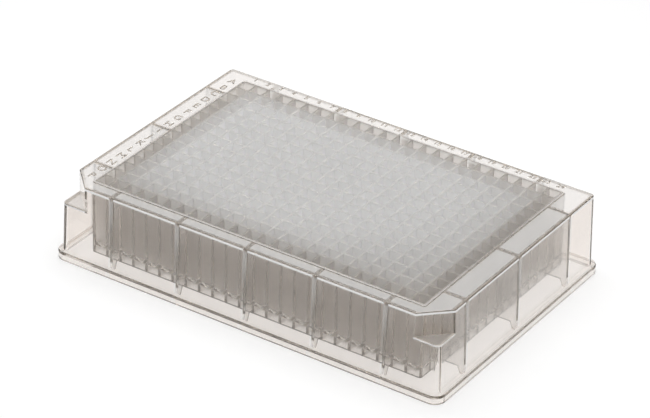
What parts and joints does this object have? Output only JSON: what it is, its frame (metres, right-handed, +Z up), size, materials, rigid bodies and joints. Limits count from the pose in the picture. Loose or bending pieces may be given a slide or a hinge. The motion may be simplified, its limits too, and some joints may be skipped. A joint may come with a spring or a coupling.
{
  "type": "well plate",
  "caption": "Clear plastic laboratory plate with a grid of small square wells, a deck, a drafted skirt with two notched corners and a base flange.",
  "frame": {"origin": "centre of the footprint, on the plane that the flange stands on", "axes": "+X along the long sides towards column 24, +Y towards row A, +Z up out of the wells"},
  "size_m": [0.1278, 0.0854, 0.025],
  "materials": {
    "clear_polypropylene": "polished clear polypropylene moulding, faintly milky"
  },
  "bodies": {
    "root": {"plate": "clear_polypropylene"}
  },
  "joints": []
}
